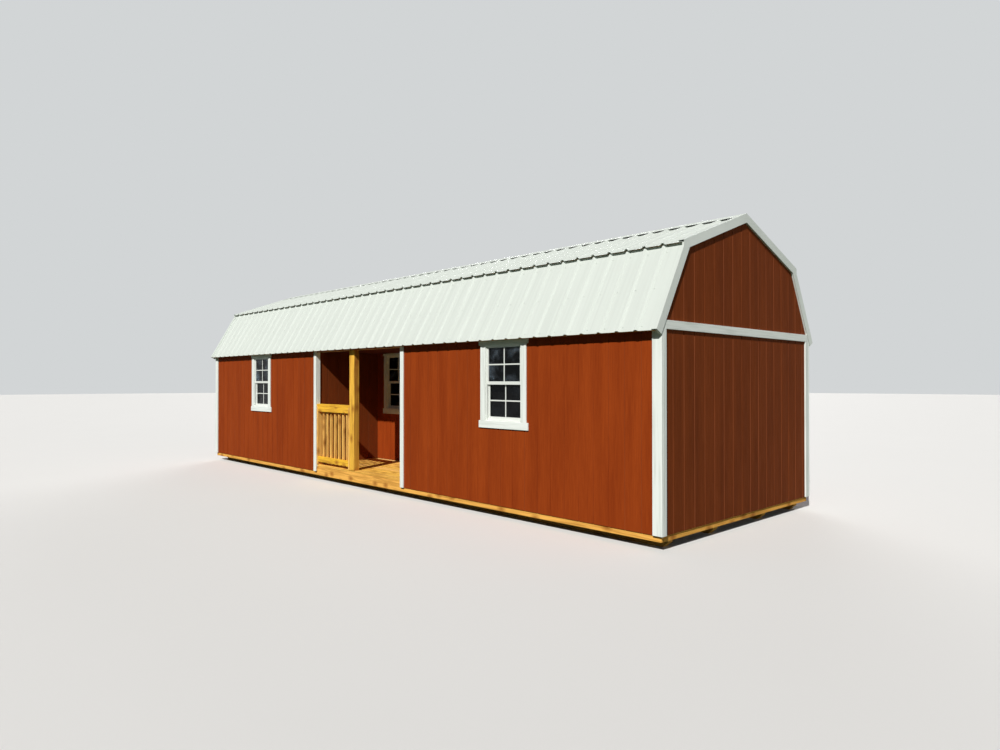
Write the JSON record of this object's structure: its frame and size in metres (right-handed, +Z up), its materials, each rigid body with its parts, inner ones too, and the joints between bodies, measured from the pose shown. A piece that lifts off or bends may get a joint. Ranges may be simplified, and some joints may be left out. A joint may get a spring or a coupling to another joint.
{
  "type": "gambrel barn with a recessed porch",
  "caption": "Long red timber barn on skids, with a white ribbed gambrel roof, white trim, sash windows and a recessed porch with a post and half railing.",
  "frame": {"origin": "on the ground under the skids, at the centre of the building's plan", "axes": "+X along the building, to the right as seen from the porch side; -Y is the porch side; +Z up"},
  "size_m": [11.02, 3.647, 3.58],
  "materials": {
    "treated_timber": "rough sawn pressure treated pine, yellow orange",
    "framing_timber": "planed untreated softwood",
    "plywood": "unpainted plywood and board",
    "red_siding": "painted grooved wood siding, satin barn red",
    "white_trim": "painted wood, satin white",
    "roof_sheet": "white painted ribbed steel, low gloss",
    "window_vinyl": "extruded white vinyl",
    "window_glass": "clear float glass before a dark room",
    "door_paint": "white painted steel door skin"
  },
  "bodies": {
    "root": {"skids": "treated_timber", "rim_boards": "treated_timber", "floor_joists": "treated_timber", "floor": "plywood", "porch_deck": "treated_timber", "front_wall_frame": "framing_timber", "rear_wall_frame": "framing_timber", "left_gable_frame": "framing_timber", "right_gable_frame": "framing_timber", "porch_wall_frame": "framing_timber", "front_siding_left": "red_siding", "front_siding_right": "red_siding", "rear_siding": "red_siding", "left_gable_siding": "red_siding", "right_gable_siding": "red_siding", "porch_left_siding": "red_siding", "porch_right_siding": "red_siding", "porch_back_siding": "red_siding", "porch_beam": "framing_timber", "porch_beam_siding": "red_siding", "porch_post": "treated_timber", "porch_railing": "treated_timber", "porch_ceiling": "red_siding", "porch_ceiling_joists": "framing_timber", "roof_trusses": "framing_timber", "truss_gussets": "plywood", "roof_boarding": "plywood", "front_lower_roof": "roof_sheet", "front_upper_roof": "roof_sheet", "rear_upper_roof": "roof_sheet", "rear_lower_roof": "roof_sheet", "ridge_cap": "roof_sheet", "left_rake_boards": "white_trim", "right_rake_boards": "white_trim", "gable_bands": "white_trim", "corner_boards": "white_trim", "porch_corner_boards": "white_trim", "window_trim": "white_trim", "window_frames": "window_vinyl", "window_sashes": "window_vinyl", "window_glass": "window_glass", "door_frame": "white_trim", "door_trim": "white_trim", "door_leaf": "door_paint"}
  },
  "joints": []
}
